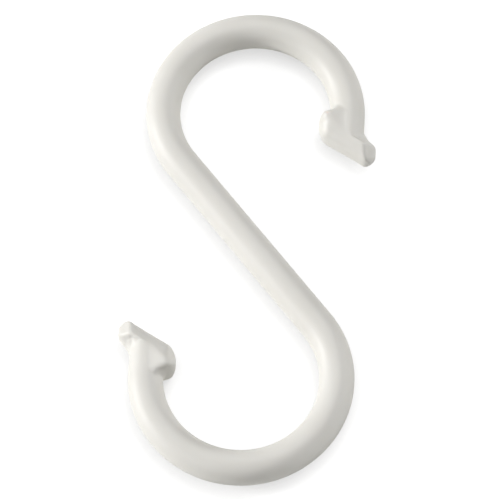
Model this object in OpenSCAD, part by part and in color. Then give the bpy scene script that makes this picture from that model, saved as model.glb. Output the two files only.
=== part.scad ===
// Moulded S hook: one round rod with a straight middle, a bend at each end and a barbed head on each tip.
// It lies flat, with +Y along the line through both bend centres and +Z up. The origin is on the surface
// that it lies on, under the point about which half a turn brings the hook back onto itself.

/* [Rod] */
// Diameter of the round rod
rod_d = 6; // [5.4:0.1:6.6]
// Radius of the bends, measured to the middle of the rod
bend_r = 16.25; // [14:0.25:24]
// Length of the straight middle between the two bends
straight_l = 38.6; // [32:0.2:60]

/* [Head] */
// Thickness of the head at the barb
barb_t = 7.4; // [7:0.1:9]
// Thickness of the head at the toe
toe_t = 5.4; // [4:0.2:7]
// How far the barb stands out past the rod, towards the inside of the bend
barb_out = 2; // [1.4:0.1:2.8]
// How far the toe stands out past the rod, towards the outside of the bend
toe_out = 2.15; // [1.4:0.05:2.6]
// Distance from the end of the bend, square to the ramp, to the ramp across the end of the head
ramp_reach = 6.3; // [6:0.05:7.5]
// Slope of the ramp
ramp_slope = 31; // [26:1:36]
// Slope of the back of the barb
barb_slope = 25; // [10:1:30]
// Slope of the flare that leads from the rod out to the toe
flare_slope = 47; // [42:1:50]
// Distance from the end of the bend to the back of the barb
barb_set = 0.35; // [0.2:0.05:0.6]

/* [Rounding] */
// Corner at the back of the barb
back_r = 1.6; // [1.4:0.1:1.8]
// Corner at the front of the barb
front_r = 2.5; // [2:0.1:2.8]
// Corner at the toe
toe_r = 1.7; // [1.5:0.1:2]
// Hollow corner between the rod and the flare
waist_r = 1.6; // [1:0.1:2.4]
// Rounded edge along the back of the barb
back_edge = 1.6; // [1.2:0.1:1.8]
// Rounded edge along the inner side of the barb
inner_edge = 2.8; // [2.6:0.1:3.2]
// Rounded edge along the ramp
ramp_edge = 3.3; // [2.8:0.05:3.4]
// Rounded edge round the toe
toe_edge = 1.3; // [0.8:0.1:1.4]
// Height that the rounding takes up at the toe
toe_drop = 2.3; // [1.6:0.1:2.5]

/* [Hidden] */

// Facets round the rod, degrees between points round a corner of the head, and steps round its edges
ROD_FN = 96;
CORNER_STEP = 10;
EDGE_STEPS = 8;

// The straight lengths are a hair thinner than the bends, so that their ends sink cleanly into them
sink_l = 0.3;
sink_d = 0.01;

// Lean of the straight middle from +Y, and the angle that each bend turns through
lean = atan2(2 * bend_r, straight_l);
sweep = 180 + lean;
// Distance of each bend's centre from the middle of the hook
bend_y = norm([bend_r, straight_l / 2]);

// The head is laid out as [inwards, forwards] from the end of the bend. Directions turn from inwards (0)
// through forwards (90), and each side is known by the direction that it faces.
function toward(angle) = [cos(angle), sin(angle)];
back_side = barb_slope - 90;
inner_side = 0;
ramp_side = 90 - ramp_slope;
flare_side = 180 + flare_slope;
outer_side = 180;

// How far out a side lies, measured square to it from the end of the bend, is its reach. This is the place
// where the lines of two sides meet.
function meet(side_a, reach_a, side_b, reach_b) =
    [reach_a * sin(side_b) - reach_b * sin(side_a), reach_b * cos(side_a) - reach_a * cos(side_b)]
    / sin(side_b - side_a);

// The barb stands out past the rod, and the outer side of the head is tucked just inside it
outer_tuck = 0.15;
barb_line = rod_d / 2 + barb_out;
outer_line = outer_tuck - rod_d / 2;
// The round rod runs on into the head, and its end stays this deep under the ramp
stub_depth = 2.2;
stub_l = meet(ramp_side, ramp_reach - stub_depth, inner_side, 0).y;

// Centres of the corners of the outline, which the head has at its middle height
back_c = [barb_line - back_r, barb_set + back_r];
front_c = meet(inner_side, barb_line - front_r, ramp_side, ramp_reach - front_r);
toe_c = meet(outer_side, rod_d / 2 + toe_out - toe_r, ramp_side, ramp_reach - toe_r);
back_reach = back_c * toward(back_side) + back_r;
flare_reach = toe_c * toward(flare_side) + toe_r;
waist_c = meet(flare_side, flare_reach + waist_r, outer_side, waist_r - outer_line);
root_c = meet(back_side, back_reach - back_r, outer_side, -outer_line - back_r);

// The crown is the level top of the head. It ends at crown_outer in a neck, and slopes down from there along
// the arm to the toe. The roundings leave it only small corners of its own.
crown_r = 0.1;
crown_inner = barb_line - inner_edge - crown_r;
crown_outer = 0.25;
neck_w = 0.3;
neck_v = meet(inner_side, crown_outer, ramp_side, ramp_reach - ramp_edge).y;
crown_slope = (barb_t - toe_t) / 2 / (crown_outer - toe_c.x);
function top_at(place) = barb_t / 2 - max(0, crown_outer - place.x) * crown_slope;

// One corner as a run of places that are each known by where they are on the outline, where they are on
// the crown, and how much of the height the rounded edge between the two takes up
function corner(centre, radius, start, end, crown, crown_radius, drop) =
    let (steps = ceil(abs(end - start) / CORNER_STEP))
    [for (k = [0:steps])
        let (facing = toward(start + k / steps * (end - start)))
        [centre + radius * facing, crown + crown_radius * facing, drop]];

back_run = corner(back_c, back_r, back_side, inner_side,
    meet(inner_side, crown_inner, back_side, back_reach - back_edge - crown_r), crown_r, back_edge);
front_run = corner(front_c, front_r, inner_side, ramp_side,
    meet(inner_side, crown_inner, ramp_side, ramp_reach - ramp_edge - crown_r), crown_r, inner_edge);
ramp_run = [[meet(inner_side, 0, ramp_side, ramp_reach), [crown_outer, neck_v], ramp_edge]];
toe_run = corner(toe_c, toe_r, ramp_side, flare_side, toe_c, toe_r - toe_edge, toe_drop);
waist_run = corner(waist_c, -waist_r, flare_side, outer_side,
    [crown_outer - crown_r, neck_v - neck_w], -crown_r, barb_t / 2);
root_run = corner(root_c, back_r, outer_side, 360 + back_side,
    meet(outer_side, -crown_outer - crown_r, back_side, back_reach - back_edge - crown_r), crown_r, back_edge);
outline = concat(back_run, front_run, ramp_run, toe_run, waist_run, root_run);

// One ring of the head's skin: the outline drawn in and raised as the edge turns over towards the crown
function skin_ring(side, turn) =
    [for (c = outline)
        let (place = c[0] + (c[1] - c[0]) * (1 - cos(turn)))
        [-place.x, -place.y, side * (top_at(c[1]) - c[2] * (1 - sin(turn)))]];

// The head: a thick barb towards the inside of the bend, a ramp across the end and a blunt toe outside
module head_solid() {
    turns = [for (k = [0:EDGE_STEPS]) 90 * k / EDGE_STEPS];
    rings = concat([for (k = [EDGE_STEPS:-1:0]) skin_ring(-1, turns[k])], [for (turn = turns) skin_ring(1, turn)]);
    count = len(outline);
    last = (len(rings) - 1) * count;
    neck_a = len(back_run) + len(front_run);
    neck_b = neck_a + len(toe_run) + len(waist_run);
    sloping = [for (i = [neck_a:neck_b]) i];
    flat = concat([for (i = [0:neck_a]) i], [for (i = [neck_b:count - 1]) i]);
    sides = [for (j = [0:len(rings) - 2], i = [0:count - 1])
        let (next = (i + 1) % count, a = j * count, b = a + count)
        each [[a + i, b + i, b + next], [a + i, b + next, a + next]]];
    bottoms = [flat, sloping];
    tops = [for (face = bottoms) [for (k = [len(face) - 1:-1:0]) last + face[k]]];
    polyhedron([for (ring = rings) each ring], concat(sides, bottoms, tops));
}

// The middle of the hook: one straight length of rod through the origin
module straight_rod()
    rotate([90, 0, lean])
        cylinder(h = straight_l + 2 * sink_l, d = rod_d - sink_d, center = true, $fn = ROD_FN);

// One bend, from where the straight ends round to where the rod runs back along the hook
module bend()
    translate([0, bend_y, 0])
        rotate_extrude(angle = sweep, $fn = ROD_FN)
            translate([bend_r, 0])
                circle(d = rod_d, $fn = ROD_FN);

// The last straight length of rod and the head on it
module head()
    translate([bend_r, bend_y, 0]) {
        translate([0, sink_l, 0])
            rotate([90, 0, 0])
                cylinder(h = stub_l + sink_l, d = rod_d - sink_d, $fn = ROD_FN);
        head_solid();
    }

// The whole hook: one half, and the same half turned half a turn about the middle
module s_hook()
    color("whitesmoke")
        translate([0, 0, barb_t / 2]) {
            straight_rod();
            for (turn = [0, 180])
                rotate([0, 0, turn]) {
                    bend();
                    head();
                }
        }

s_hook();
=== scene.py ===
# %% [markdown]
# # A moulded plastic S hook
# The object is one piece of white plastic. A round rod runs down the middle as a straight bar and turns at
# both ends into a loop of a little more than half a turn. Each loop ends in a slanted head. A barb points
# into the loop and keeps a cord or a rail from slipping out, a ramp across the end lets it slide in, and a
# blunt toe stands out on the other side. This lesson builds the hook as one smooth mesh, gives it a moulded
# finish, and lights it on a white table.

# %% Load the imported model
import math
import numpy as np
import bpy
from mathutils import Matrix, Vector


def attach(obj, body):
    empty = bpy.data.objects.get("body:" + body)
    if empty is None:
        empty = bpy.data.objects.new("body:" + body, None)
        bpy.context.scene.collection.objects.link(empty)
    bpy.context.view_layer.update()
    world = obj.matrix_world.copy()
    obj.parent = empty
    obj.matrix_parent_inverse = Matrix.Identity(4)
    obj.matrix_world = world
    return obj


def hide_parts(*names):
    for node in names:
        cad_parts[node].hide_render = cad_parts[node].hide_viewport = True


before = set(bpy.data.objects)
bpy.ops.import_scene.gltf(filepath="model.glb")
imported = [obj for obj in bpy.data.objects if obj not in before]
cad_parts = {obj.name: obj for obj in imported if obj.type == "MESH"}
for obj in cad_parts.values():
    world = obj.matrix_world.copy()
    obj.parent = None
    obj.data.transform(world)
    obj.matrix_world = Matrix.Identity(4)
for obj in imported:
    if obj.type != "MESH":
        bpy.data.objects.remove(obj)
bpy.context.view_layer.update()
print("solids in the frame:", sorted(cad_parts))

# %% [markdown]
# ## The camera
# Settling the camera first keeps every later choice honest, because each try can be judged from the same
# place. The hook lies flat, and the camera looks down on it from the side of the lower loop. A long lens
# from over half a metre away keeps the two loops nearly the same size, as product pictures do. The place is
# given as a compass angle, a height angle and a small roll, which is how a tripod head is set.

# %% The camera
CAMERA_AZIMUTH = -85.7
CAMERA_HEIGHT_ANGLE = 65.5
CAMERA_ROLL = -1.64
CAMERA_DISTANCE = 0.5632
LENS_MM = 234.4
AIM_ABOVE_FLOOR = 0.0037
AIM_SHIFT_RIGHT = 0.00026
AIM_SHIFT_UP = -0.00119


def direction(azimuth, height):
    """The unit vector towards a compass angle and a height angle, both in degrees."""
    turn = math.radians(azimuth)
    rise = math.radians(height)
    return Vector((math.cos(turn) * math.cos(rise), math.sin(turn) * math.cos(rise), math.sin(rise)))


camera_data = bpy.data.cameras.new("camera")
camera_data.lens = LENS_MM
camera_data.sensor_width = 36.0
camera_data.clip_start = 0.01
camera = bpy.data.objects.new("camera", camera_data)
bpy.context.scene.collection.objects.link(camera)

backwards = direction(CAMERA_AZIMUTH, CAMERA_HEIGHT_ANGLE)
turned = backwards.to_track_quat("Z", "Y").to_matrix() @ Matrix.Rotation(math.radians(CAMERA_ROLL), 3, "Z")
aim = Vector((0, 0, AIM_ABOVE_FLOOR)) + turned @ Vector((AIM_SHIFT_RIGHT, AIM_SHIFT_UP, 0))
camera.matrix_world = Matrix.Translation(aim + backwards * CAMERA_DISTANCE) @ turned.to_4x4()
bpy.context.scene.camera = camera
print("camera at", [round(value, 4) for value in camera.matrix_world.translation])

# %% [markdown]
# ## The sizes
# A moulded hook is drawn from a few sizes, as a toolmaker would note them. All of them are in millimetres.
# Places on the head are measured from the end of the bend, where the rod's middle line stops turning: one
# distance goes inwards, towards the space in the loop, and the other goes forwards, off the rod's end. Each
# side of the head has a facing, an angle that turns from inwards to forwards, and a reach, which is how far
# out the side stands. A corner value is the radius of the corner where two sides meet.

# %% The sizes of the rod and the head
ROD_RADIUS = 3.0
BEND_RADIUS = 16.25
STRAIGHT_LENGTH = 38.6
BARB_THICKNESS = 7.4
BARB_REACH = 5.0
TOE_REACH = 5.14
RAMP_REACH = 6.2
FLARE_REACH = 0.15
RAMP_FACING = math.radians(59)
BACK_FACING = math.radians(-65)
FLARE_FACING = math.radians(218)
BARB_SET = 0.35
BACK_CORNER = 1.6
FRONT_CORNER = 3.2
TOE_CORNER = 1.5
FLARE_CORNER = 1.5

BEND_CENTRE = math.hypot(BEND_RADIUS, STRAIGHT_LENGTH / 2)
LEAN = math.atan2(BEND_RADIUS, STRAIGHT_LENGTH / 2)
MIDDLE = BARB_THICKNESS / 2
print("overall height in mm:", round(2 * (BEND_CENTRE + BEND_RADIUS + ROD_RADIUS), 2))

# %% [markdown]
# ## Where the head's sides lie
# Seen from above, the head is a shape with straight sides and round corners: the back of the barb, its inner
# side, the long ramp, the end of the toe and the flare behind it. Each side is a line with a facing and a
# reach. Two lines meet in one point, and that gives the centres of the round corners without any guessing.
# The arm is the stretch of the head that runs along the ramp out to the toe.

# %% The lines of the head


def facing(angle):
    """The unit vector (inwards, forwards) that a side with this angle faces."""
    return np.array([math.cos(angle), math.sin(angle)])


def meet(angle_a, reach_a, angle_b, reach_b):
    """The point where two lines meet, each given by its facing and its reach."""
    across = reach_a * math.sin(angle_b) - reach_b * math.sin(angle_a)
    ahead = reach_b * math.cos(angle_a) - reach_a * math.cos(angle_b)
    return np.array([across, ahead]) / math.sin(angle_b - angle_a)


back_centre = np.array([BARB_REACH - BACK_CORNER, BARB_SET + BACK_CORNER])
BACK_REACH = back_centre @ facing(BACK_FACING) + BACK_CORNER
toe_centre = meet(math.pi, TOE_REACH - TOE_CORNER, RAMP_FACING, RAMP_REACH - TOE_CORNER)
arm_direction = facing(RAMP_FACING + math.pi / 2)
print("middle of the toe:", toe_centre.round(2))

# %% [markdown]
# ## A shape from distances
# Plastic parts have soft transitions: the barb grows out of the round rod with a fillet, and its faces roll
# into each other. Joining two meshes with a boolean and a bevel leaves creases there. Here the head is
# described by a distance instead: a function that is negative inside the plastic, zero on its skin and
# positive outside. Such distances can be blended with plain arithmetic, which gives true fillets.

# %% Blending distances
LEAST_WIDTH = 0.001
WIDEST_SWITCH = 1.6


def fade(value, start, end):
    """0 before start, 1 after end, and a smooth climb between them."""
    t = np.clip((value - start) / (end - start), 0, 1)
    return t * t * (3 - 2 * t)


def soft_larger(a, b, width):
    """The larger of a and b, with the switch between them rounded over width."""
    near = np.maximum(width - np.abs(a - b), 0) / width
    return np.maximum(a, b) + near * near * width / 4


def outer_corner(a, b, radius, turn):
    """The distance to a corner between two sides whose facings are turn apart, rounded with radius."""
    x = a + radius
    y = b + radius
    arc = np.sqrt(np.maximum(x * x + y * y - 2 * x * y * math.cos(turn), 0)) / math.sin(turn) - radius
    width = np.clip(-2 * (np.maximum(a, b) + radius), LEAST_WIDTH, WIDEST_SWITCH)
    on_arc = (x > y * math.cos(turn)) & (y > x * math.cos(turn))
    return np.where(on_arc, arc, soft_larger(a, b, width))


def hollow_corner(a, b, radius, turn):
    """The same for a corner that points into the plastic."""
    return -outer_corner(-a, -b, radius, turn)


def filleted(a, b, radius):
    """Two solids joined, with a fillet of radius where they meet."""
    near_a = np.maximum(radius - a, 0)
    near_b = np.maximum(radius - b, 0)
    return np.maximum(radius, np.minimum(a, b)) - np.hypot(near_a, near_b)


drawn_back = outer_corner(np.array(0.0), np.array(0.0), 1.0, math.pi / 2)
print("a square corner with a radius of 1 mm draws back by", round(float(drawn_back), 3), "mm")

# %% [markdown]
# ## The faces of the head
# The outline says how far the head reaches sideways. Its upper side is made of nearly flat faces. The crown
# is level with the top of the rod and rises a little towards the barb. A straight crest ends it, and beyond
# the crest a long ramp face and a small, steeper toe face are cut across the end. On the outer side of the
# rod the crown falls away behind the crest, so that the rod's own round flank shows right up to it. The
# underside is the mirror image, as in a mould with two equal halves, so only the height off the middle
# counts.

# %% The faces of the head
CROWN_HEIGHT = 2.99
RISE_START = 0.8
RISE_TO_BARB = 0.25
RISE_WIDTH = 0.2
RAMP_RISE = 0.05
FLANK_TILT = 2.2
FLANK_TILT_AT_TOE = 1.3
FLANK_ZONE = (0.0, 1.4)
TOE_FLANK_ZONE = (2.2, 3.2)
CREST_TO_RAMP = 2.28
RAMP_TILT = math.tan(math.radians(26.5))
TOE_CREST = np.array([-2.94, 6.37])
TOE_FACING = math.radians(155)
TOE_TILT = 0.8
CREST_WIDTH = 0.35


def sloping_face(up, height, past, tilt):
    """The distance to a face that has this height where past is zero, and falls by tilt past it."""
    return (up - height + past * tilt) / np.hypot(1, tilt)


def crown_height(across):
    """How high the crown stands over the middle of the section."""
    return CROWN_HEIGHT + soft_larger(RISE_TO_BARB * (across - RISE_START), 0.0, RISE_WIDTH)


def crown_face(across, up, past_crest):
    """The distance to the crown, which falls steeply behind the crest on the outer side."""
    tilt = FLANK_TILT * fade(-across, *FLANK_ZONE)
    tilt = tilt + (FLANK_TILT_AT_TOE - FLANK_TILT) * fade(-across, *TOE_FLANK_ZONE)
    return sloping_face(up, crown_height(across), -past_crest, tilt)


def end_cuts(across, ahead, up, past_crest):
    """The distance to the two faces that are cut across the end: the ramp face and the toe face."""
    ramp_face = sloping_face(up, CROWN_HEIGHT + RAMP_RISE * np.maximum(across, 0), past_crest, RAMP_TILT)
    out = facing(TOE_FACING)
    past_toe_crest = (across - TOE_CREST[0]) * out[0] + (ahead - TOE_CREST[1]) * out[1]
    toe_face = sloping_face(up, CROWN_HEIGHT, past_toe_crest, TOE_TILT)
    return soft_larger(ramp_face, toe_face, CREST_WIDTH)


print("height of the crown at the rod's inner side:", round(float(crown_height(ROD_RADIUS)), 2))

# %% [markdown]
# ## The skin of the whole end
# The outline, the faces and the rod come together in one distance. The rod's round section stays as it is up
# to the barb and runs on into the head. The edge between the outline and the crown is broad along the inner
# side of the barb, narrower along its back and along the ramp, and fine round the toe. The faces across the
# end are cut through the head and the rod before the two are joined. The fillet between head and rod is full
# behind the barb and at the waist, and it fades out towards the cuts, so that the ramp stays flat.

# %% The distance to the skin
OUTER_SIDE = 2.7
WAIST_RADIUS = 1.3
ROOT_RADIUS = 3.0
EDGE_INNER = 2.6
EDGE_BACK = 1.4
EDGE_RAMP = 1.1
EDGE_TOE = 0.6
ROD_END = 1.2
FILLET_AT_CUTS = 0.02
FILLET_LEAST = 0.1
FILLET_BARB = 0.8
FILLET_WAIST = 1.0
FILLET_FADE = 1.2

# Each zone is a start and an end in millimetres, between which one value gives way to another.
SWITCH_ZONE = (3.0, 5.0)
ARM_ZONE = (0.0, 2.5)
FRONT_ZONE = (-1.2, 1.2)
BACK_ZONE = (-1.0, 1.0)
TOE_ZONE = (2.0, 4.0)
BARB_ZONE = (0.8, 2.2)
WAIST_ZONE = (1.0, 2.4)
FLARE_ZONE = (2.5, 4.0)


def outline_distance(across, ahead):
    """The distance to the head's outline, to its ramp alone, and how broad the edge is there."""
    ramp = across * math.cos(RAMP_FACING) + ahead * math.sin(RAMP_FACING) - RAMP_REACH
    back = across * math.cos(BACK_FACING) + ahead * math.sin(BACK_FACING) - BACK_REACH
    flare = across * math.cos(FLARE_FACING) + ahead * math.sin(FLARE_FACING) - FLARE_REACH
    inner = across - BARB_REACH
    outer = -OUTER_SIDE - across
    end = -TOE_REACH - across
    barb = outer_corner(back, inner, BACK_CORNER, -BACK_FACING)
    barb = outer_corner(barb, ramp, FRONT_CORNER, RAMP_FACING)
    rear = hollow_corner(outer, flare, WAIST_RADIUS, FLARE_FACING - math.pi)
    rear = outer_corner(back, rear, ROOT_RADIUS, math.pi + BACK_FACING)
    rear = outer_corner(rear, end, FLARE_CORNER, FLARE_FACING - math.pi)
    past_arm = (across - toe_centre[0]) * arm_direction[0] + (ahead - toe_centre[1]) * arm_direction[1]
    switch = LEAST_WIDTH + WIDEST_SWITCH * fade(ahead, *SWITCH_ZONE) * fade(-past_arm, *ARM_ZONE)
    both = soft_larger(barb, rear, switch)
    toe = outer_corner(ramp, rear, TOE_CORNER, math.pi - RAMP_FACING)
    edge = EDGE_RAMP + (EDGE_INNER - EDGE_RAMP) * fade(inner - ramp, *FRONT_ZONE)
    edge = edge + (EDGE_BACK - edge) * fade(back - inner, *BACK_ZONE) * fade(across, *BACK_ZONE)
    edge = edge + (EDGE_TOE - edge) * fade(-across, *TOE_ZONE)
    return np.where(past_arm > 0, toe, both), ramp, edge


def skin_distance(points):
    """The distance from points (inwards, forwards, up) to the skin of the rod's end and the head."""
    across = points[..., 0]
    ahead = points[..., 1]
    up = np.abs(points[..., 2])
    from_middle_line = np.where(ahead < 0, BEND_RADIUS - np.hypot(across - BEND_RADIUS, ahead), across)
    rod = np.hypot(from_middle_line, up) - ROD_RADIUS
    outline, ramp, edge = outline_distance(across, ahead)
    past_crest = ramp + CREST_TO_RAMP
    cuts = end_cuts(across, ahead, up, past_crest)
    top = soft_larger(crown_face(across, up, past_crest), cuts, CREST_WIDTH)
    block = soft_larger(outline, top, edge)
    rod = soft_larger(np.maximum(rod, ramp + ROD_END), cuts, CREST_WIDTH)
    fillet = FILLET_LEAST + (FILLET_BARB - FILLET_LEAST) * fade(across, *BARB_ZONE)
    fillet = fillet + (FILLET_WAIST - FILLET_LEAST) * fade(-across, *WAIST_ZONE) * fade(ahead, *FLARE_ZONE)
    return filleted(rod, block, FILLET_AT_CUTS + fillet * fade(-cuts, 0.0, FILLET_FADE))


below_skin = skin_distance(np.array([0.0, -BEND_RADIUS / 4, 0.0]))
print("depth of the plastic under a point near the rod's middle line:", round(-float(below_skin), 2))

# %% [markdown]
# ## Rings along the hook
# A distance alone can't be rendered: it needs a mesh. A voxel remesh would do it, but its faces don't follow
# the form and shimmer in the highlights. So the mesh is laid out as rings, one behind the other, the way a
# sock is knitted. On the plain rod a ring is a circle. In the head each point of a ring is found by walking
# outwards from the middle of the ring until the distance changes sign, and halving the step until it is
# exact.

# %% Finding the skin
RING_POINTS = 144
around = np.arange(RING_POINTS) * 2 * math.pi / RING_POINTS
WALK_STEPS = 40
WALK_START = 0.3
WALK_END = 9.0
HALVINGS = 22


def walk_out(centre, rays):
    """Where each ray from centre first leaves the plastic."""
    inside = np.zeros(len(rays))
    outside = np.full(len(rays), WALK_END)
    found = np.zeros(len(rays), bool)
    previous = 0.0
    for reach in np.linspace(WALK_START, WALK_END, WALK_STEPS):
        left = (skin_distance(centre + rays * reach) > 0) & ~found
        inside[left] = previous
        outside[left] = reach
        found |= left
        previous = reach
    for _ in range(HALVINGS):
        middle = (inside + outside) / 2
        beyond = skin_distance(centre + rays * middle[:, None]) > 0
        outside = np.where(beyond, middle, outside)
        inside = np.where(beyond, inside, middle)
    return centre + rays * inside[:, None]


def head_ring(centre, angle, lift=0.0):
    """A ring of skin points round a point of the head, upright and along facing(angle).

    lift turns its rays forwards into a cone, which gives the small rings over the toe.
    """
    side = facing(angle) * math.cos(lift)
    forwards = facing(angle + math.pi / 2) * math.sin(lift)
    rays = np.stack([
        np.cos(around) * side[0] + forwards[0],
        np.cos(around) * side[1] + forwards[1],
        np.sin(around) * math.cos(lift),
    ], axis=1)
    found = walk_out(np.array([centre[0], centre[1], 0.0]), rays)
    height = np.clip(found[:, 2], -MIDDLE, MIDDLE)
    return np.stack([BEND_RADIUS - found[:, 0], BEND_CENTRE - found[:, 1], height], axis=1)


def rod_ring(centre, side):
    """A circle of the rod round a point of its middle line. side points into the loop."""
    return np.stack([
        centre[0] + ROD_RADIUS * np.cos(around) * side[0],
        centre[1] + ROD_RADIUS * np.cos(around) * side[1],
        ROD_RADIUS * np.sin(around),
    ], axis=1)


print("points in a ring:", RING_POINTS, "at", round(2 * math.pi * ROD_RADIUS / RING_POINTS, 3), "mm")

# %% [markdown]
# ## One half of the hook
# The rings follow the middle line from the middle of the straight bar, round the bend and into the head.
# There they turn about a hinge beside the rod's waist like the pages of a book, until they stand square to
# the ramp. They follow the ramp to the toe, and the last ones close over the toe like the lines on a globe.
# More rings lie where the form changes fast, and each count below is for one stretch.

# %% The rings of one half
BAR_RINGS = 16
BEND_RINGS = 84
BEND_END_RINGS = 20
NECK_RINGS = 44
PAGE_RINGS = 35
RAMP_RINGS = 16
TOE_RINGS = 16
BEND_END_SWEEP = math.radians(8)
SWEEP = math.pi + LEAN
PAGE_EASE = 1.25
HINGE = np.array([-4.0, 4.2])
HINGE_TO_NECK = 4.0
HINGE_TO_ARM = 3.16


def bend_point(angle):
    """A point of the bend's middle line, and the direction from there into the loop."""
    outwards = np.array([math.cos(angle), math.sin(angle)])
    return np.array([0.0, BEND_CENTRE]) + BEND_RADIUS * outwards, -outwards


def half_rings():
    """All rings from the middle of the bar to the toe, and the toe's last point."""
    rings = []
    bar_end, bar_side = bend_point(SWEEP)
    for t in np.linspace(0, 1, BAR_RINGS)[:-1]:
        rings.append(rod_ring(bar_end * t, bar_side))
    for angle in np.linspace(SWEEP, BEND_END_SWEEP, BEND_RINGS):
        rings.append(rod_ring(*bend_point(angle)))
    for angle in np.linspace(BEND_END_SWEEP, 0, BEND_END_RINGS)[1:]:
        centre = BEND_RADIUS * np.array([1 - math.cos(angle), -math.sin(angle)])
        rings.append(head_ring(centre, angle))
    for ahead in np.linspace(0, HINGE[1], NECK_RINGS)[1:]:
        rings.append(head_ring((0.0, ahead), 0.0))
    for t in np.linspace(0, 1, PAGE_RINGS)[1:]:
        angle = RAMP_FACING * t ** PAGE_EASE
        centre = HINGE + (HINGE_TO_NECK + (HINGE_TO_ARM - HINGE_TO_NECK) * fade(t, 0, 1)) * facing(angle)
        rings.append(head_ring(centre, angle))
    arm_start = centre
    for t in np.linspace(0, 1, RAMP_RINGS)[1:]:
        rings.append(head_ring(arm_start + (toe_centre - arm_start) * t, RAMP_FACING))
    for lift in np.linspace(0, math.pi / 2, TOE_RINGS)[1:-1]:
        rings.append(head_ring(toe_centre, RAMP_FACING, lift))
    along_arm = np.array([[arm_direction[0], arm_direction[1], 0.0]])
    tip = walk_out(np.array([toe_centre[0], toe_centre[1], 0.0]), along_arm)[0]
    return np.array(rings), np.array([BEND_RADIUS - tip[0], BEND_CENTRE - tip[1], 0.0])


half, toe_tip = half_rings()
print("rings on one half:", len(half))

# %% [markdown]
# ## Both halves
# Turning an S hook by half a turn gives the same hook. So the second half is the first one with its signs
# changed, and the two share the ring in the middle. A second set of places is kept for every point: how far
# it lies along the rod and where in its round section. The flow marks of the melt run along the rod, and
# they use these places later.

# %% The rings of the whole hook


def along_the_rod(rings):
    """For each ring point: the distance from the middle along the rod, and its place in the section."""
    centres = rings.mean(axis=1)
    steps = np.linalg.norm(np.diff(centres, axis=0), axis=1)
    run = np.concatenate([[0.0], np.cumsum(steps)])
    reach = np.linalg.norm(rings - centres[:, None], axis=2)
    return np.stack([
        np.broadcast_to(run[:, None], reach.shape),
        reach * np.cos(around),
        reach * np.sin(around),
    ], axis=2)


half_flow = along_the_rod(half)
mirrored = (RING_POINTS // 2 - np.arange(RING_POINTS)) % RING_POINTS
turned_half = (half * np.array([-1, -1, 1]))[1:, mirrored][::-1]
turned_flow = (half_flow * np.array([-1, 1, 1]))[1:, mirrored][::-1]
all_rings = np.concatenate([turned_half, half])
all_flow = np.concatenate([turned_flow, half_flow])
ring_count = len(all_rings)
print("rings on the hook:", ring_count, "and along the rod:", round(2 * half_flow[-1, 0, 0], 1), "mm")

# %% [markdown]
# ## One mesh
# Faces run from ring to ring, and a fan of triangles closes each toe. The mesh is written point by point, so
# it has no stray faces and no seams, and smooth shading does the rest. The mesh takes the place of the plain
# solid, which is hidden.

# %% The mesh of the hook
faces = []
for ring in range(ring_count - 1):
    for i in range(RING_POINTS):
        j = (i + 1) % RING_POINTS
        a = ring * RING_POINTS
        b = a + RING_POINTS
        faces.append((a + i, a + j, b + j, b + i))
first_tip = ring_count * RING_POINTS
last_tip = first_tip + 1
last_ring = (ring_count - 1) * RING_POINTS
for i in range(RING_POINTS):
    j = (i + 1) % RING_POINTS
    faces.append((first_tip, j, i))
    faces.append((last_tip, last_ring + i, last_ring + j))

points = np.concatenate([all_rings.reshape(-1, 3), [toe_tip * np.array([-1, -1, 1]), toe_tip]])
points[:, 2] += MIDDLE
flow = np.concatenate([all_flow.reshape(-1, 3), [all_flow[0, 0], all_flow[-1, 0]]])
MM = 0.001

hook_mesh = bpy.data.meshes.new("moulded_hook")
hook_mesh.from_pydata((points * MM).tolist(), [], faces)
hook_mesh.update()
flow_places = hook_mesh.attributes.new("flow", "FLOAT_VECTOR", "POINT")
flow_places.data.foreach_set("vector", (flow * MM).astype(np.float32).ravel())
hook_mesh.polygons.foreach_set("use_smooth", [True] * len(hook_mesh.polygons))
hook = bpy.data.objects.new("moulded_hook", hook_mesh)
bpy.context.scene.collection.objects.link(hook)
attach(hook, "root")
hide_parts("s_hook")
print("points:", len(points), "faces:", len(faces), "size in mm:", np.ptp(points, axis=0).round(2))

# %% [markdown]
# ## Moulded acetal
# Hooks like this are injection-moulded in acetal, a dense milky plastic. Its own colour is a warm off-white,
# light goes a short way into it, and the finely ground mould leaves a satin gloss. Three things keep it from
# looking like paint: cloudy patches where the melt cooled at different speeds, fine streaks along the flow
# of the melt, and a thin line round the middle of the section where the two halves of the mould met. All of
# it is built from nodes, with two helpers: one turns a colour picked on a screen into the linear one that a
# shader needs, and one adds a node.

# %% Colours and nodes


def linear(hex_colour):
    """The linear colour that a shader socket takes, from an sRGB hex text."""
    shares = [int(hex_colour[i:i + 2], 16) / 255 for i in (1, 3, 5)]
    return [s / 12.92 if s <= 0.04045 else ((s + 0.055) / 1.055) ** 2.4 for s in shares] + [1.0]


def add_node(tree, kind, settings=None, links=None):
    """Adds a node, sets its properties and inputs, and links its inputs from other nodes' outputs."""
    node = tree.nodes.new(kind)
    for name, value in (settings or {}).items():
        if isinstance(name, int) or name in node.inputs:
            node.inputs[name].default_value = value
        else:
            setattr(node, name, value)
    for name, output in (links or {}).items():
        tree.links.new(output, node.inputs[name])
    return node


ACETAL_PLAIN = "#E9E7E2"
ACETAL_CLOUD = "#DFDDD6"
print("the plain plastic in linear colour:", [round(share, 3) for share in linear(ACETAL_PLAIN)[:3]])

# %% [markdown]
# ## Clouds, streaks and grain
# Noise textures give all three patterns, because none of them repeats. Their scales come from real sizes, in
# metres: the clouds are some 9 mm across, and a streak is 8 mm long and under 1 mm wide. Stretching the
# places along the rod before the noise is read draws it out into streaks. The grain of a ground mould is
# about 0.05 mm, too fine to show, so it is drawn at 0.4 mm and very faint.

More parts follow.
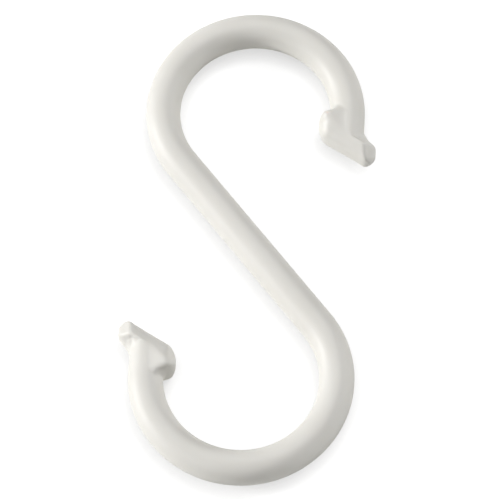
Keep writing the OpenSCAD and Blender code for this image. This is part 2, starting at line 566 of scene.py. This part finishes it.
# %% The patterns of the plastic
CLOUD_SIZE = 0.009
STREAK_LENGTH = 0.008
STREAK_WIDTH = 0.0009
GRAIN_SIZE = 0.0004

acetal = bpy.data.materials.new("moulded_acetal")
acetal.use_nodes = True
tree = acetal.node_tree
tree.nodes.clear()
place = add_node(tree, "ShaderNodeTexCoord")
flow_place = add_node(tree, "ShaderNodeAttribute", {"attribute_name": "flow"})
stretched = add_node(
    tree, "ShaderNodeVectorMath",
    {"operation": "MULTIPLY", 1: (1 / STREAK_LENGTH, 1 / STREAK_WIDTH, 1 / STREAK_WIDTH)},
    {0: flow_place.outputs["Vector"]},
)
clouds = add_node(
    tree, "ShaderNodeTexNoise",
    {"Scale": 1 / CLOUD_SIZE, "Detail": 2.0, "Roughness": 0.5},
    {"Vector": place.outputs["Object"]},
)
streaks = add_node(
    tree, "ShaderNodeTexNoise",
    {"Scale": 1.0, "Detail": 2.0, "Roughness": 0.5},
    {"Vector": stretched.outputs["Vector"]},
)
grain = add_node(
    tree, "ShaderNodeTexNoise",
    {"Scale": 1 / GRAIN_SIZE, "Detail": 1.0},
    {"Vector": place.outputs["Object"]},
)
print("patterns:", [node.name for node in (clouds, streaks, grain)])

# %% [markdown]
# ## The relief of the surface
# The streaks and the grain lift the skin by hundredths of a millimetre or less, and so does the parting
# line, which lies at the middle height all the way round. They are far too low for the mesh, so bump nodes
# tilt the shading instead, one after the other. A good mould leaves a line about 0.05 mm wide, too fine to
# show, so it is drawn with a slope of 0.16 mm on each side.

# %% Relief
PARTING_WIDTH = 0.00016
PARTING_HEIGHT = 0.00004
STREAK_HEIGHT = 0.0001
GRAIN_HEIGHT = 0.00003

relief_streaks = add_node(
    tree, "ShaderNodeBump",
    {"Strength": 0.12, "Distance": STREAK_HEIGHT},
    {"Height": streaks.outputs["Fac"]},
)
relief_grain = add_node(
    tree, "ShaderNodeBump",
    {"Strength": 0.08, "Distance": GRAIN_HEIGHT},
    {"Height": grain.outputs["Fac"], "Normal": relief_streaks.outputs["Normal"]},
)
height = add_node(tree, "ShaderNodeSeparateXYZ", links={"Vector": place.outputs["Object"]})
from_parting = add_node(
    tree, "ShaderNodeMath",
    {"operation": "SUBTRACT", 1: MIDDLE * MM},
    {0: height.outputs["Z"]},
)
off_parting = add_node(tree, "ShaderNodeMath", {"operation": "ABSOLUTE"}, {0: from_parting.outputs["Value"]})
ridge = add_node(
    tree, "ShaderNodeMapRange",
    {
        "interpolation_type": "SMOOTHSTEP",
        "From Min": 0.0,
        "From Max": PARTING_WIDTH,
        "To Min": 1.0,
        "To Max": 0.0,
    },
    {"Value": off_parting.outputs["Value"]},
)
relief_parting = add_node(
    tree, "ShaderNodeBump",
    {"Strength": 0.6, "Distance": PARTING_HEIGHT},
    {"Height": ridge.outputs["Result"], "Normal": relief_grain.outputs["Normal"]},
)
print("the parting line lies at", MIDDLE, "mm")

# %% [markdown]
# ## The plastic itself
# Acetal has an IOR of 1.48. Its gloss is satin: a roughness of 0.4 to 0.6 is usual, and here the streaks
# make it wander between 0.44 and 0.53. A little subsurface light, less than a millimetre deep, softens the
# edges as milky plastic does.

# %% The finish of the hook
LEAST_ROUGHNESS = 0.44
MOST_ROUGHNESS = 0.53
STREAK_FAINTEST = 0.3
STREAK_BOLDEST = 0.7

colour = add_node(
    tree, "ShaderNodeMix",
    {"data_type": "RGBA", 6: linear(ACETAL_PLAIN), 7: linear(ACETAL_CLOUD)},
    {0: clouds.outputs["Fac"]},
)
gloss = add_node(
    tree, "ShaderNodeMapRange",
    {
        "From Min": STREAK_FAINTEST,
        "From Max": STREAK_BOLDEST,
        "To Min": LEAST_ROUGHNESS,
        "To Max": MOST_ROUGHNESS,
    },
    {"Value": streaks.outputs["Fac"]},
)
surface = add_node(
    tree, "ShaderNodeBsdfPrincipled",
    {
        "IOR": 1.48,
        "Subsurface Weight": 0.1,
        "Subsurface Radius": (1.0, 0.9, 0.75),
        "Subsurface Scale": 0.0008,
    },
    {
        "Base Color": colour.outputs[2],
        "Roughness": gloss.outputs["Result"],
        "Normal": relief_parting.outputs["Normal"],
    },
)
add_node(tree, "ShaderNodeOutputMaterial", links={"Surface": surface.outputs["BSDF"]})
hook_mesh.materials.append(acetal)
print("nodes in the finish:", len(tree.nodes))

# %% [markdown]
# ## The table
# A product like this is shown on white card that is lit from behind or retouched, so that it stays white and
# only a soft shadow is left right beside it. The card's material does the same for camera rays: it has a
# light of its own and its own shade counts less. An ambient occlusion node dims that light within 3 mm of
# the hook, which paints a contact shadow onto the card. For all other rays it is plain white card, so the
# hook gets its true light back from below.

# %% The table
TABLE_SIZE = 3.0
CARD = "#F0F0EE"
CARD_FOR_CAMERA = "#959594"
CARD_LIFT = 0.86
# The card's light where the hook is closest, and how far out that painted contact shadow reaches.
CARD_LIFT_IN_PAINTED_SHADOW = 0.47
PAINTED_SHADOW_REACH = 0.003

table_mesh = bpy.data.meshes.new("table")
edge = TABLE_SIZE / 2
corners = [(-edge, -edge, 0), (edge, -edge, 0), (edge, edge, 0), (-edge, edge, 0)]
table_mesh.from_pydata(corners, [], [(0, 1, 2, 3)])
table = bpy.data.objects.new("table", table_mesh)
bpy.context.scene.collection.objects.link(table)
card = bpy.data.materials.new("white_card")
card.use_nodes = True
tree = card.node_tree
tree.nodes.clear()
ray = add_node(tree, "ShaderNodeLightPath")
# Painted shadow: an ambient occlusion node dims the card's own light near the hook, a contact shadow painted
# onto it.
painted_shadow_mask = add_node(tree, "ShaderNodeAmbientOcclusion", {"samples": 8, "Distance": PAINTED_SHADOW_REACH})
painted_shadow_lift = add_node(
    tree, "ShaderNodeMapRange",
    {"From Min": 0.0, "From Max": 1.0, "To Min": CARD_LIFT_IN_PAINTED_SHADOW, "To Max": CARD_LIFT},
    {"Value": painted_shadow_mask.outputs["AO"]},
)
lift = add_node(
    tree, "ShaderNodeMath",
    {"operation": "MULTIPLY"},
    {0: ray.outputs["Is Camera Ray"], 1: painted_shadow_lift.outputs["Result"]},
)
shade = add_node(
    tree, "ShaderNodeMix",
    {"data_type": "RGBA", 6: linear(CARD), 7: linear(CARD_FOR_CAMERA)},
    {0: ray.outputs["Is Camera Ray"]},
)
paper = add_node(tree, "ShaderNodeBsdfDiffuse", links={"Color": shade.outputs[2]})
# The card's own white light for camera rays, with the painted contact shadow in it.
white_glow_with_painted_shadow = add_node(tree, "ShaderNodeEmission", {"Color": (1, 1, 1, 1)}, {"Strength": lift.outputs["Value"]})
both = add_node(
    tree, "ShaderNodeAddShader",
    links={0: paper.outputs["BSDF"], 1: white_glow_with_painted_shadow.outputs["Emission"]},
)
add_node(tree, "ShaderNodeOutputMaterial", links={"Surface": both.outputs["Shader"]})
table_mesh.materials.append(card)
print("nodes in the card:", len(tree.nodes))

# %% [markdown]
# ## The light
# A small white part on a white table is lit from all round, and its shape shows only because one side gets
# more light than the others. One strong soft box, low on the left, draws the bright band along the rod. Two
# more, above and behind the hook, and two weak ones in front of it fill the shadows. They all stand far
# away, so that both heads get the same light. Each call gives a lamp's compass angle and height angle, its
# size in metres and its power in watts. The room itself is white for the camera and gives no light.

# %% The light
LAMP_DISTANCE = 2.0


def soft_box(name, azimuth, height, size, power):
    """A square lamp that looks at the middle of the hook."""
    lamp_data = bpy.data.lights.new(name, "AREA")
    lamp_data.size = size
    lamp_data.energy = power
    lamp = bpy.data.objects.new(name, lamp_data)
    bpy.context.scene.collection.objects.link(lamp)
    outwards = direction(azimuth, height)
    turned_lamp = outwards.to_track_quat("Z", "Y").to_matrix().to_4x4()
    lamp.matrix_world = Matrix.Translation(outwards * LAMP_DISTANCE) @ turned_lamp


soft_box("side_box", 180, 18, 0.5, 38.0)
soft_box("corner_box", 240, 35, 0.5, 5.9)
soft_box("top_box", 60, 60, 1.0, 13.8)
soft_box("back_box", 30, 35, 1.0, 12.0)
soft_box("front_box", 330, 35, 1.0, 5.4)

air = bpy.data.worlds.new("white_room")
bpy.context.scene.world = air
air.use_nodes = True
tree = air.node_tree
tree.nodes.clear()
ray = add_node(tree, "ShaderNodeLightPath")
background = add_node(
    tree, "ShaderNodeBackground", {"Color": (1, 1, 1, 1)}, {"Strength": ray.outputs["Is Camera Ray"]}
)
add_node(tree, "ShaderNodeOutputWorld", links={"Surface": background.outputs["Background"]})
bpy.context.scene.view_settings.view_transform = "Standard"
print("lamps:", [lamp.name for lamp in bpy.data.lights])
